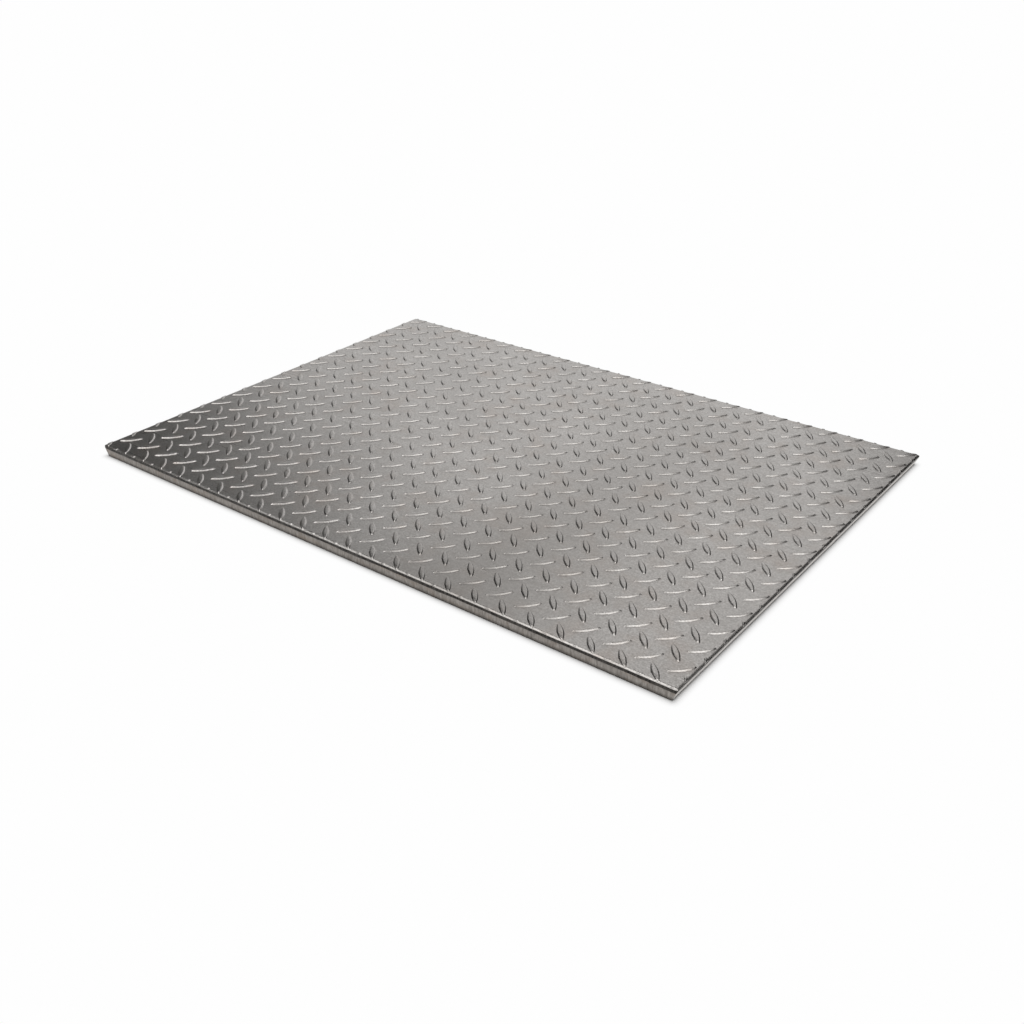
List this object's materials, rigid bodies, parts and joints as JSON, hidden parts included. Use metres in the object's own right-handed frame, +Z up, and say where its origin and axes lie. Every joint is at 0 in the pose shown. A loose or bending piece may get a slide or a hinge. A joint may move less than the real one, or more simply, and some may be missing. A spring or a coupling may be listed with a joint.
{
  "type": "checker steel plate",
  "caption": "Flat rectangular steel plate with a raised anti-slip tread of crossed lens-shaped lugs on its top face and sheared edges.",
  "frame": {"origin": "under the middle of the plate, on the level surface it lies on", "axes": "+X along the long sides, +Y along the ends, +Z up out of the treaded face"},
  "size_m": [0.7, 0.5, 0.013],
  "materials": {
    "mill_finish_steel": "hot rolled and descaled mild steel, satin, bare"
  },
  "bodies": {
    "root": {"checker_plate": "mill_finish_steel"}
  },
  "joints": []
}
